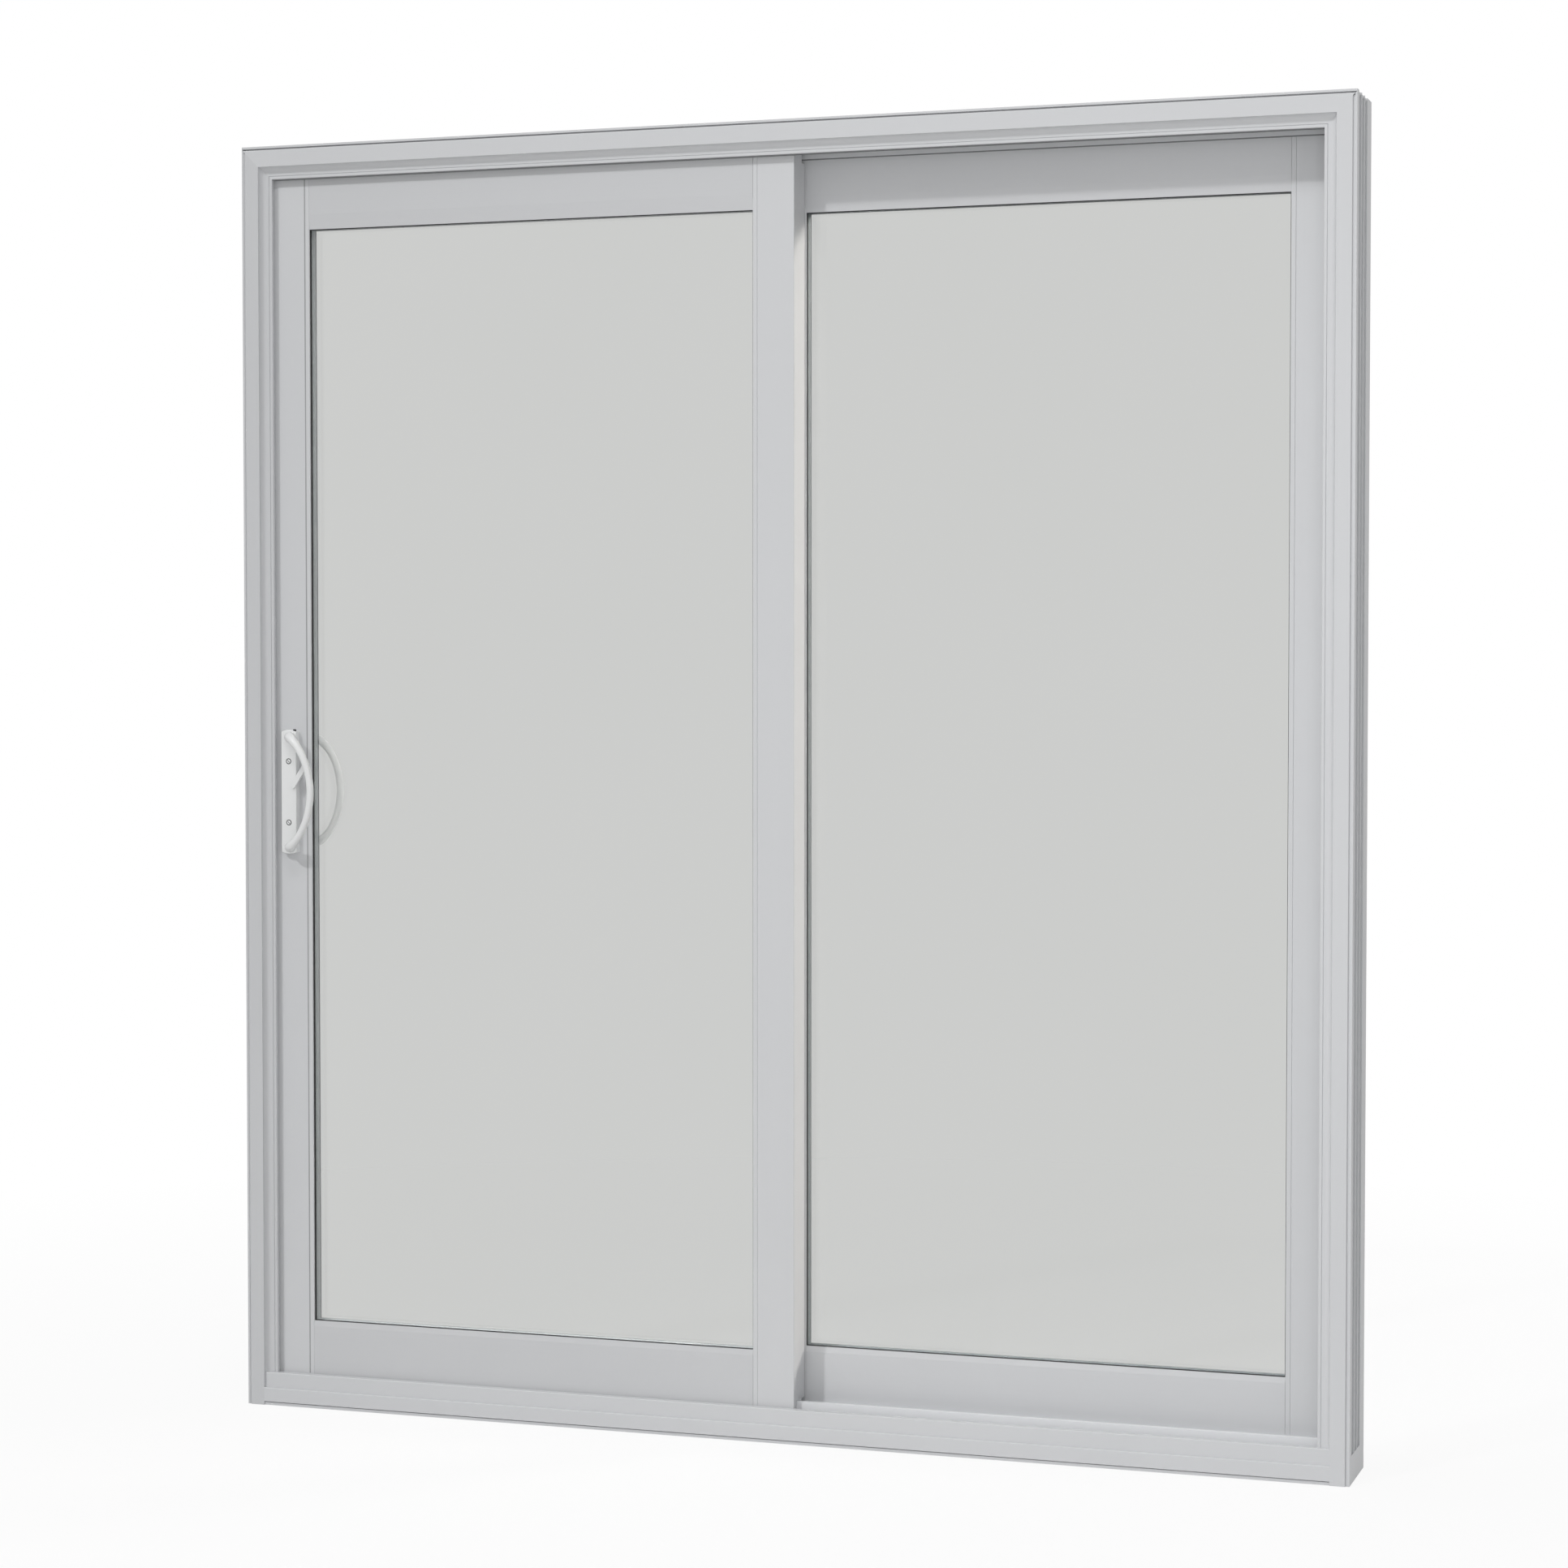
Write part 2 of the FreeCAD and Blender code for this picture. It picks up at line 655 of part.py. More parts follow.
def make_thumb_lever():
    """The lever that works the lock, on the room-side plate, pointing up and to the right."""
    front = slide_face - d.plate_thickness - d.lever_gap
    body = doc.addObject("PartDesign::Body", "thumb_lever_body")
    sketch = new_sketch(body, "thumb_lever_outline", "XZ_Plane", -front)
    turn = FreeCAD.Rotation(FreeCAD.Vector(0, 0, 1), 1)
    sketch.AttachmentOffset = FreeCAD.Placement(FreeCAD.Vector(), turn)
    bind(sketch, AttachmentOffset__Base__x=plate_middle + d.lever_offset,
         AttachmentOffset__Base__y=d.handle_height + d.lever_rise, AttachmentOffset__Base__z=-front,
         AttachmentOffset__Rotation__Angle=d.lever_angle)
    radius, length = d.lever_radius, d.lever_length
    outline(sketch, [(0, -radius), (length, -radius, radius, 1), (length + radius, 0, radius, 1),
                     (length, radius), (0, radius, radius, 1), (-radius, 0, radius, 1)])
    pad = body.newObject("PartDesign::Pad", "thumb_lever_pad")
    pad.Profile = sketch
    bind(pad, Length=d.lever_thickness)
    node(body, "thumb_lever")


# Assembly


def check_and_export():
    """Stop on any failed object, then write one file for each sub-part."""
    doc.recompute()
    failed = [thing.Label for thing in doc.Objects if {"Invalid", "Error"} & set(thing.State)]
    failed += [piece.Label for piece in nodes if piece.Shape.isNull() or not piece.Shape.isValid()]
    if failed:
        raise RuntimeError("failed: " + ", ".join(failed))
    os.makedirs("parts", exist_ok=True)
    for piece in nodes:
        piece.Shape.exportStep(f"parts/{piece.Label}.step")


make_frame()
lock_stile = make_panel("sliding", slide_face, -1, True)
fixed_jamb_stile = make_panel("fixed", fixed_face, 1, False)
node(fixed_jamb_stile, "fixed_jamb_stile")
make_interlocks()
make_rollers()
make_lock(lock_stile)
make_handle("inner_handle", slide_face, -1)
make_handle("outer_handle", slide_back, 1)
make_thumb_lever()
check_and_export()
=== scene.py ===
"""Glass sliding patio door: finishes, handles, fasteners and seals on the CAD frame, and a studio stage."""
import math

import bpy
import numpy as np
from bpy.props import FloatProperty, FloatVectorProperty, PointerProperty
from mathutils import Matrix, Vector


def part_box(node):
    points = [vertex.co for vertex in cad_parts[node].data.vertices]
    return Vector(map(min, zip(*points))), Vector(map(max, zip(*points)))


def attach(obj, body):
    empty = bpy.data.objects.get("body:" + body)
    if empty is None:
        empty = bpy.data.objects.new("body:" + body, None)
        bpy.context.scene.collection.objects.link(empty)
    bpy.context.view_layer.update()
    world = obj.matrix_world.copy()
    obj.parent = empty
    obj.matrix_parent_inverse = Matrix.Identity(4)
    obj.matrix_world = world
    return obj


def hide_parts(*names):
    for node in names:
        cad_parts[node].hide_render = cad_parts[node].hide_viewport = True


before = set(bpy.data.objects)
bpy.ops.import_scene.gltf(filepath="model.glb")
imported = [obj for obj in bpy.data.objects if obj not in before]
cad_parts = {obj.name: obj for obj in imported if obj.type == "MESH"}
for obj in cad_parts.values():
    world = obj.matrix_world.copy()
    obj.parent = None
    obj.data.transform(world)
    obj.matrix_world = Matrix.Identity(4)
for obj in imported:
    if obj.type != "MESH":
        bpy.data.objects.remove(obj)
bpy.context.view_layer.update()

bl_info = {
    "name": "Glass Sliding Patio Door",
    "version": (1, 1, 0),
    "blender": (4, 5, 0),
    "location": "3D View > Sidebar > Patio Door",
    "description": "Dresses a two-panel sliding patio door and sets up a studio for it",
    "category": "Object",
}

UPRIGHTS = ("right_jamb", "fixed_jamb_stile", "fixed_meeting_stile", "sliding_lock_stile",
            "sliding_meeting_stile", "fixed_interlock", "sliding_interlock")
LEVELS = ("head", "sill", "fixed_top_rail", "fixed_bottom_rail", "fixed_glazing_bead",
          "sliding_glazing_bead")
SLIDING_RAILS = ("sliding_top_rail", "sliding_bottom_rail")
LITES = ("fixed_inner_lite", "fixed_outer_lite", "sliding_inner_lite", "sliding_outer_lite")
GASKETS = ("fixed_gasket", "sliding_gasket")
STEEL = ("lock_plate", "lock_keeper", "roller_housings")
NYLON = ("roller_wheels",)


# Settings that a user would change


def length(name, description, default):
    """A property in metres."""
    return FloatProperty(name=name, description=description, default=default, min=0.0, unit="LENGTH")


def share(name, description, default):
    """A property between 0 and 1."""
    return FloatProperty(name=name, description=description, default=default, min=0.0, max=1.0,
                         subtype="FACTOR")


def paint(name, description, default):
    """A colour property."""
    return FloatVectorProperty(name=name, description=description, default=default, min=0.0, max=1.0,
                               size=3, subtype="COLOR")


class FinishSettings(bpy.types.PropertyGroup):
    """Colours and gloss of the door's surfaces."""

    vinyl: paint("Vinyl", "White vinyl of the frame and the panels", (0.610, 0.618, 0.632))
    vinyl_roughness: share("Vinyl roughness", "Roughness of the vinyl's satin skin", 0.42)
    glass: paint("Glass", "Tint that one lite of glass gives the light", (0.990, 0.997, 0.987))
    gasket: paint("Gasket", "Black rubber of the glazing gasket", (0.016, 0.016, 0.017))
    spacer: paint("Spacer", "Mill-finish metal of the bar between the sliding lites", (0.46, 0.49, 0.50))
    # The fixed bar's darker colour is painted shade, offsetting the outside lamp that reaches it.
    fixed_spacer: paint("Fixed spacer", "Darker metal of the bar between the fixed lites",
                        (0.21, 0.24, 0.25))
    enamel: paint("Enamel", "White enamel of the room-side handle", (0.79, 0.80, 0.80))
    # The outside handle's brighter enamel is painted light, for a handle seen through the glass.
    outer_painted_light_enamel: paint("Outer enamel", "Brighter white enamel of the outside handle", (0.92, 0.93, 0.93))
    steel: paint("Steel", "Plated steel of the lock and its screws", (0.52, 0.52, 0.50))
    nylon: paint("Nylon", "Nylon of the rollers", (0.66, 0.65, 0.61))
    # The dark wool is partly painted shade on the head seal and wholly painted shade on the strips under the
    # head.
    pile: paint("Pile", "Dark grey wool of the head's seals", (0.20, 0.205, 0.21))
    # The pale wool is painted light in the shaded gaps by the sill's and the jamb's seals.
    pale_pile_painted_light: paint("Pale pile", "Pale wool of the sill's and the jamb's seals", (0.74, 0.75, 0.76))
    seam: paint("Seam", "Shaded bottom of the lock stile's seam", (0.33, 0.335, 0.34))


class HandleSettings(bpy.types.PropertyGroup):
    """Sizes of a handle that its outline doesn't give."""

    plate_width: length("Plate width", "Width of the handle's plate", 0.0265)
    plate_thickness: length("Plate thickness", "Thickness of the handle's plate", 0.012)
    plate_arch: length("Plate arch", "Rise of the plate's arched ends", 0.003)
    plate_round: length("Plate round", "Radius of the plate's front edge", 0.0014)
    pull_radius: length("Pull radius", "Radius of the bowed pull", 0.0057)
    foot_radius: length("Foot radius", "Radius of the pull where it meets the plate", 0.0082)
    foot_shift: length("Foot shift", "Distance of the pull's feet from the plate's middle line", 0.004)
    half_span: length("Half span", "Half the distance between the pull's feet", 0.089)


class TrimSettings(bpy.types.PropertyGroup):
    """Sizes of the fasteners and seals."""

    screw_radius: length("Screw radius", "Radius of a handle screw's head", 0.0034)
    # The dark ring round a screw is painted shade of its recess.
    screw_shade_ring: length("Screw recess", "Width of the dark ring round a handle screw", 0.0013)
    screw_spacing: length("Screw spacing", "Distance between the two handle screws", 0.0988)
    grub_radius: length("Grub radius", "Radius of the small screw in a handle's end", 0.0026)
    lock_screw_radius: length("Lock screw radius", "Radius of a lock or keeper screw's head", 0.0036)
    lock_screw_spacing: length("Lock screw spacing", "Distance between the two lock screws", 0.13)
    seal_width: length("Seal width", "Width of a pile seal's backing", 0.0048)
    seal_height: length("Seal height", "Height of the pile from its backing", 0.005)


class StageSettings(bpy.types.PropertyGroup):
    """Camera, lamps and floor."""

    lens: FloatProperty(name="Lens", description="Focal length on a 36 mm sensor", default=78.73,
                        unit="CAMERA")
    floor_radius: length("Floor radius", "Radius of the round floor", 9.0)
    sky: share("Sky", "Strength of the even light from all round", 0.415)
    backdrop: share("Backdrop", "Level at which the surroundings show through glass", 0.603)
    key: FloatProperty(name="Key light", description="Strength of the crisp light from the upper left",
                       default=0.906, min=0.0)
    fill: FloatProperty(name="Fill lamp", description="Power of the soft lamp at the right in front",
                        default=15.0, unit="POWER")
    top: FloatProperty(name="Top lamp", description="Power of the soft lamp over the room side",
                       default=41.0, unit="POWER")
    outside: FloatProperty(name="Outside lamp", description="Power of the warm lamp behind the fixed panel",
                           default=3.9, unit="POWER")


# Shader maths


class Signal:
    """An output socket; arithmetic on it adds the Math nodes that work it out."""

    def __init__(self, graph, socket):
        self.graph = graph
        self.socket = socket

    def math(self, operation, *values):
        """One Math node on these values."""
        return self.graph.node("ShaderNodeMath", {"operation": operation}, dict(enumerate(values)))

    def __add__(self, other):
        return self.math("ADD", self, other)

    def __radd__(self, other):
        return self.math("ADD", other, self)

    def __sub__(self, other):
        return self.math("SUBTRACT", self, other)

    def __rsub__(self, other):
        return self.math("SUBTRACT", other, self)

    def __mul__(self, other):
        return self.math("MULTIPLY", self, other)

    def __rmul__(self, other):
        return self.math("MULTIPLY", other, self)

    def between(self, low, high):
        """This signal, which runs from 0 to 1, spread from low to high."""
        return low + (high - low) * self


class Graph:
    """A node tree being filled."""

    def __init__(self, tree):
        self.tree = tree

    def node(self, kind, settings=None, inputs=None, output=0):
        """Add a node, set it up, feed its sockets with values or signals, and give one output."""
        made = self.tree.nodes.new(kind)
        for name, value in (settings or {}).items():
            setattr(made, name, value)
        for name, value in (inputs or {}).items():
            self.feed(made.inputs[name], value)
        return Signal(self, made.outputs[output])

    def feed(self, socket, value):
        """Link a signal to a socket, or set the socket's own value."""
        if isinstance(value, Signal):
            self.tree.links.new(value.socket, socket)
        else:
            socket.default_value = value

    def shown_level(self, backdrop):
        """The level at which a ray sees the surroundings: 1 plainly or in gloss, backdrop through glass."""
        through = self.node("ShaderNodeLightPath", output="Is Transmission Ray")
        plain = (self.node("ShaderNodeLightPath", output="Is Camera Ray")
                 + self.node("ShaderNodeLightPath", output="Is Glossy Ray"))
        return backdrop * through + (1.0 - through) * plain


class Finish(Graph):
    """A material being built round one Principled shader."""

    def __init__(self, name):
        self.material = bpy.data.materials.new(name)
        self.material.use_nodes = True
        super().__init__(self.material.node_tree)
        self.shader = self.tree.nodes["Principled BSDF"]

    def set(self, **sockets):
        """Feed the shader's sockets; an underscore in a keyword stands for a space."""
        for name, value in sockets.items():
            self.feed(self.shader.inputs[name.replace("_", " ")], value)

    def mix(self, amount, other):
        """Show the Principled shader mixed with another one."""
        own = Signal(self, self.shader.outputs["BSDF"])
        mixed = self.node("ShaderNodeMixShader", None, {0: amount, 1: own, 2: other})
        self.feed(self.tree.nodes["Material Output"].inputs["Surface"], mixed)

    def place(self, stretch=(1.0, 1.0, 1.0)):
        """Object coordinates in metres, multiplied along each axis."""
        here = self.node("ShaderNodeTexCoord", output="Object")
        return self.node("ShaderNodeMapping", None, {"Vector": here, "Scale": stretch})

    def noise(self, scale, detail, stretch=(1.0, 1.0, 1.0)):
        """Soft noise between 0 and 1, with its grain stretched along the axes."""
        inputs = {"Vector": self.place(stretch), "Scale": scale, "Detail": detail}
        return self.node("ShaderNodeTexNoise", None, inputs, "Fac")

    def tones(self, amount, colour, dark, light):
        """A colour made darker or lighter by a 0-to-1 signal."""
        ends = [(*(min(1.0, channel * factor) for channel in colour), 1.0) for factor in (dark, light)]
        return self.node("ShaderNodeMix", {"data_type": "RGBA"}, {0: amount, 6: ends[0], 7: ends[1]}, 2)

    def bump(self, height, distance, strength=1.0):
        """A normal from a height signal; distance is the relief in metres."""
        inputs = {"Height": height, "Distance": distance, "Strength": strength}
        return self.node("ShaderNodeBump", None, inputs)


# Finishes

# The deep tone is painted shade: darker copies of the vinyl on the left jamb and the sliding rails.
PAINTED_SHADE_TONE = 0.94
# The bright tone is painted light: a paler copy of the vinyl on the roller rail in the sill's shaded
# channel.
PAINTED_LIGHT_TONE = 1.35
DIE_ALONG = 0.6
DIE_ACROSS = 340.0
MOTTLE_SHARE = 0.65
LINE_SHARE = 0.7
GLOSS_SPREAD = 0.05
FILM_HAZE = 0.01
SHADOW_TINT = (0.98, 0.98, 0.98, 1.0)
ROLL_STRETCH = (6.0, 900.0, 6.0)
BRUSH_STRETCH = (1500.0, 1500.0, 25.0)
SEAM_STRETCH = (1.0, 1.0, 0.2)


def vinyl(name, along, tone=1.0):
    """Satin extruded vinyl: faint die lines along the run, soft mottling and a fine skin."""
    settings = bpy.context.scene.patio_finish
    # A tone below 1 is painted shade and a tone above 1 is painted light.
    colour = [channel * tone for channel in settings.vinyl]
    finish = Finish(name)
    die_stretch = tuple(DIE_ALONG if axis == along else DIE_ACROSS for axis in "XYZ")
    die_lines = finish.noise(scale=1.0, detail=2.0, stretch=die_stretch)
    mottle = finish.noise(scale=4.5, detail=3.0)
    skin = finish.noise(scale=900.0, detail=2.0)
    amount = MOTTLE_SHARE * mottle + (1.0 - MOTTLE_SHARE) * die_lines
    relief = LINE_SHARE * die_lines + (1.0 - LINE_SHARE) * skin
    gloss = settings.vinyl_roughness
    finish.set(
        Base_Color=finish.tones(amount, colour, dark=0.98, light=1.02),
        Roughness=amount.between(gloss - GLOSS_SPREAD, gloss + GLOSS_SPREAD),
        Normal=finish.bump(relief, distance=0.00005, strength=0.5),
        Coat_Weight=0.12,
        Coat_Roughness=0.25,
    )
    return finish.material


def clear_glass():
    """Float glass with a faint film of dust; lamps shine through it."""
    settings = bpy.context.scene.patio_finish
    finish = Finish("float_glass")
    film = finish.noise(scale=2.2, detail=4.0)
    finish.set(
        Base_Color=finish.tones(film, settings.glass, dark=0.994, light=1.006),
        Roughness=FILM_HAZE * film,
        Transmission_Weight=1.0,
        IOR=1.45,
    )
    lamp_ray = finish.node("ShaderNodeLightPath", output="Is Shadow Ray")
    clear = finish.node("ShaderNodeBsdfTransparent", None, {"Color": SHADOW_TINT})
    finish.mix(lamp_ray, clear)
    return finish.material


def black_gasket():
    """Extruded black rubber with a dull, slightly dusty skin."""
    settings = bpy.context.scene.patio_finish
    # The same black rubber is painted shade in the screws' rings and slots.
    finish = Finish("black_rubber_and_painted_shade")
    dust = finish.noise(scale=220.0, detail=4.0)
    finish.set(
        Base_Color=finish.tones(dust, settings.gasket, dark=0.7, light=1.8),
        Roughness=dust.between(0.5, 0.75),
        Normal=finish.bump(dust, distance=0.0001),
    )
    return finish.material


def grey_spacer(name, colour):
    """Roll-formed metal with the fine lines of the rolls along it."""
    finish = Finish(name)
    rolls = finish.noise(scale=1.0, detail=2.0, stretch=ROLL_STRETCH)
    finish.set(
        Base_Color=finish.tones(rolls, colour, dark=0.85, light=1.15),
        Metallic=0.2,
        Roughness=rolls.between(0.45, 0.65),
        Normal=finish.bump(rolls, distance=0.00008),
    )
    return finish.material


def handle_enamel(name, colour):
    """Baked white enamel with a slight orange peel."""
    finish = Finish(name)
    peel = finish.noise(scale=420.0, detail=2.0)
    wear = finish.noise(scale=28.0, detail=4.0)
    finish.set(
        Base_Color=finish.tones(wear, colour, dark=0.98, light=1.02),
        Roughness=wear.between(0.3, 0.42),
        Normal=finish.bump(peel, distance=0.0001, strength=0.4),
        Coat_Weight=0.3,
        Coat_Roughness=0.12,
    )
    return finish.material


def brushed_steel():
    """Plated steel brushed along its height."""
    settings = bpy.context.scene.patio_finish
    finish = Finish("brushed_steel")
    strokes = finish.noise(scale=1.0, detail=3.0, stretch=BRUSH_STRETCH)
    finish.set(
        Base_Color=finish.tones(strokes, settings.steel, dark=0.85, light=1.1),
        Metallic=1.0,
        Roughness=strokes.between(0.28, 0.48),
        Normal=finish.bump(strokes, distance=0.00005),
    )
    return finish.material


def roller_nylon():
    """Moulded nylon with a soft mottle."""
    settings = bpy.context.scene.patio_finish
    finish = Finish("moulded_nylon")
    mottle = finish.noise(scale=160.0, detail=3.0)
    finish.set(
        Base_Color=finish.tones(mottle, settings.nylon, dark=0.93, light=1.04),
        Roughness=mottle.between(0.45, 0.6),
        Normal=finish.bump(mottle, distance=0.00008),
    )
    return finish.material


def pile_wool(name, colour):
    """Dense wool pile, with tufts set close along the strip."""
    finish = Finish(name)
    tufts = finish.noise(scale=1500.0, detail=3.0)
    finish.set(
        Base_Color=finish.tones(tufts, colour, dark=0.55, light=1.5),
        Roughness=tufts.between(0.85, 0.95),
        Normal=finish.bump(tufts, distance=0.0006),
    )
    return finish.material


def seam_shade():
    """Dull vinyl in the bottom of a seam, its dark colour painted shade, with streaks of dust along it."""
    settings = bpy.context.scene.patio_finish
    finish = Finish("seam_shade")
    dust = finish.noise(scale=60.0, detail=3.0, stretch=SEAM_STRETCH)
    finish.set(
        Base_Color=finish.tones(dust, settings.seam, dark=0.8, light=1.2),
        Roughness=dust.between(0.7, 0.9),
        Normal=finish.bump(dust, distance=0.00005),
    )
    return finish.material


def dress(names, material):
    """Give CAD nodes a material."""
    for name in names:
        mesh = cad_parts[name].data
        mesh.materials.clear()
        mesh.materials.append(material)


def ready(name, make):
    """A material by name, made if it isn't there yet."""
    return bpy.data.materials.get(name) or make()


# Surfaces

SHARP_ANGLE = math.radians(32.0)
TURN_SIDES = 32


def add_piece(name, shells, body, material):
    """Make one mesh of closed shells, each an array of points and a list of faces, riding on a body."""
    points, faces, count = [], [], 0
    for shell_points, shell_faces in shells:
        points.append(shell_points)
        faces += [[count + corner for corner in face] for face in shell_faces]
        count += len(shell_points)
    mesh = bpy.data.meshes.new(name)
    mesh.from_pydata(np.concatenate(points).tolist(), [], faces)
    mesh.polygons.foreach_set("use_smooth", np.ones(len(mesh.polygons), bool))
    mesh.set_sharp_from_angle(angle=SHARP_ANGLE)
    mesh.materials.append(material)
    piece = bpy.data.objects.new(name, mesh)
    bpy.context.scene.collection.objects.link(piece)
    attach(piece, body)
    return piece


def grid_faces(rows, columns):
    """Quads of a grid of points, row after row, whose last column joins the first."""
    row, column = np.meshgrid(np.arange(rows - 1), np.arange(columns), indexing="ij")
    here = row * columns + column
    beside = row * columns + (column + 1) % columns
    return np.stack([here, beside, beside + columns, here + columns], axis=-1).reshape(-1, 4)


def capped(rings):
    """A closed shell from rings of points, each ring turning left as seen from the last ring's side."""
    rows, columns = rings.shape[:2]
    first = np.arange(columns)[::-1]
    last = (rows - 1) * columns + np.arange(columns)
    faces = grid_faces(rows, columns).tolist() + [first.tolist(), last.tolist()]
    return rings.reshape(-1, 3), faces


def across(direction):
    """Two unit vectors square to an axis direction, which turn left about it."""
    direction = np.asarray(direction, float)
    first = np.roll(np.abs(direction), 1)
    return first, np.cross(direction, first)


def turned(profile, place, direction):
    """A surface of revolution that stands on place and points along direction.

    Each profile point is (radius, height); at turn t it lies at
    place + height * direction + radius * (cos t * u + sin t * v), with u and v square to direction.
    """
    u, v = across(direction)
    radius, height = np.asarray(profile, float).T
    turn = np.linspace(0.0, 2.0 * math.pi, TURN_SIDES, endpoint=False)
    round_about = np.cos(turn)[:, None] * u + np.sin(turn)[:, None] * v
    rings = height[:, None, None] * np.asarray(direction, float) + radius[:, None, None] * round_about
    return capped(rings + np.asarray(place, float))


def extruded(outline, start, along, u, v):
    """A flat outline, given in steps of u and v, carried from start by the vector along.

    The outline turns left as seen against along.
    """
    outline = np.asarray(outline, float)
    flat = outline[:, :1] * np.asarray(u, float) + outline[:, 1:] * np.asarray(v, float)
    ends = np.stack([flat, flat + np.asarray(along, float)])
    return capped(ends + np.asarray(start, float))


def bar(low, high):
    """A box between two corners: its lower face, an oblong, carried straight up."""
    left, front, bottom = low
    right, back, top = high
    outline = [(left, front), (right, front), (right, back), (left, back)]
    rise = (0.0, 0.0, top - bottom)
    return extruded(outline, (0.0, 0.0, bottom), rise, (1.0, 0.0, 0.0), (0.0, 1.0, 0.0))


def inset(outline, distance):
    """A closed outline moved in by a distance along its mitred normals."""
    ahead = np.roll(outline, -1, axis=0) - outline
    ahead /= np.linalg.norm(ahead, axis=1, keepdims=True)
    normal = np.stack([-ahead[:, 1], ahead[:, 0]], axis=1)
    before = np.roll(normal, 1, axis=0)
    mitre = (normal + before) / (1.0 + np.sum(normal * before, axis=1, keepdims=True))
    return outline + distance * mitre


# Handles

PULL_STATIONS = 72
PULL_SIDES = 36
FOOT_SINK = 0.003
BOW_POWER = 1.3
STAND_POWER = 4
FOOT_POWER = 8
ARCH_POINTS = 18
EDGE_STEPS = 6


def arc_radius(half, rise):
    """The radius of an arc over a chord of twice half: (half^2 + rise^2) / (2 rise)."""
    return (half ** 2 + rise ** 2) / (2 * rise)


def arched_plate(middle, height, panel_side, way, tall, settings):
    """A plate with arched ends and a rounded front edge.

    Its outline is two upright sides joined by shallow arcs, and rings of it, moved in by r(1 - cos a)
    and out by r sin a, round the edge over a quarter turn a.
    """
    half = settings.plate_width / 2
    bend = arc_radius(half, settings.plate_arch)
    swing = np.linspace(-1.0, 1.0, ARCH_POINTS) * math.asin(half / bend)
    rise = tall / 2 - bend + bend * np.cos(swing)
    bottom = np.stack([bend * np.sin(swing), -rise], axis=1)
    outline = np.concatenate([bottom, -bottom])
    quarter = np.linspace(0.0, math.pi / 2, EDGE_STEPS)
    soft = settings.plate_round
    steps = [(0.0, 0.0), *zip(soft * (1 - np.cos(quarter)),
                              settings.plate_thickness - soft + soft * np.sin(quarter))]
    rings = []
    for inward, out in steps:
        loop = inset(outline, inward)
        rings.append(np.stack([middle + loop[:, 0], np.full(len(loop), panel_side + way * out),
                               height + loop[:, 1]], axis=1))
    rings = np.stack(rings)
    return capped(rings if way < 0 else rings[:, ::-1])


def bowed_pull(foot, apex, height, settings):
    """A round bar that bows sideways and stands off the plate between its feet, wider towards them.

    At turn a, from -90 to 90 degrees, its middle lies half_span sin a up, reach cos(a)^1.3 to the side
    and stand (1 - sin(a)^4)^(1/4) off the plate; its radius grows with the eighth power of sin a.
    The stations lie closer together towards the feet, which sink into the plate.
    """
    reach, stand = np.subtract(apex, foot)
    part = np.linspace(-1.0, 1.0, PULL_STATIONS)
    turn = np.sign(part) * (1.0 - (1.0 - np.abs(part)) ** 2) * math.pi / 2
    rise, level = np.sin(turn), np.maximum(np.cos(turn), 0.0)
    sideways = foot[0] + reach * level ** BOW_POWER
    out = foot[1] + stand * np.maximum(1.0 - rise ** STAND_POWER, 0.0) ** (1 / STAND_POWER)
    middle = np.stack([sideways, out, height + settings.half_span * rise], axis=1)
    ahead = np.gradient(middle, axis=0)
    ahead /= np.linalg.norm(ahead, axis=1, keepdims=True)
    square = np.cross(ahead, (1.0, 0.0, 0.0))
    square /= np.linalg.norm(square, axis=1, keepdims=True)
    outward = np.cross(square, ahead)
    radius = settings.pull_radius + (settings.foot_radius - settings.pull_radius) * rise ** FOOT_POWER
    round_about = np.linspace(0.0, 2.0 * math.pi, PULL_SIDES, endpoint=False)
    spokes = (np.cos(round_about)[None, :, None] * outward[:, None, :]
              + np.sin(round_about)[None, :, None] * square[:, None, :])
    middle[[0, -1], 1] -= math.copysign(FOOT_SINK, stand)
    return capped(middle[:, None, :] + radius[:, None, None] * spokes)


def make_handle(node, name, way, material):
    """A plate and a pull in place of a CAD handle, sized by its outline; way is -1 on the room's side.

    Gives the middle of the plate's front.
    """
    settings = bpy.context.scene.patio_handle
    low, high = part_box(node)
    panel_side, reach = (high.y, low.y) if way < 0 else (low.y, high.y)
    middle = low.x + settings.plate_width / 2
    height = (low.z + high.z) / 2
    foot = (middle + settings.foot_shift, panel_side + way * settings.plate_thickness)
    apex = (high.x - settings.pull_radius, reach - way * settings.pull_radius)
    shells = [arched_plate(middle, height, panel_side, way, high.z - low.z, settings),
              bowed_pull(foot, apex, height, settings)]
    piece = add_piece(name, shells, "sliding_panel", material)
    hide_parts(node)
    return middle, foot[1], height


# Fasteners

# A screw's heights in metres, then shares of its head's radius or dome
HEAD_RIM = 0.0001
RING_EDGE = 0.00012
RING_TOP = 0.00018
RING_HOLE = 0.2
DOME_SHARE = 0.16
SLOT_LENGTH = 0.74
SLOT_WIDTH = 0.13
SLOT_START = 0.9
SLOT_RISE = 0.4
HEAD_SWEEP = 0.94
HEAD_STEPS = 7

# A grub screw's sizes in metres, then shares of its radius and of the plate's arch
GRUB_DEPTH = 0.0036
GRUB_LENGTH = 0.003
GRUB_EDGE = 0.0022
GRUB_TOP = 0.0027
GRUB_CHAMFER = 0.8
GRUB_TIP = 0.1
GRUB_SINK = 0.1


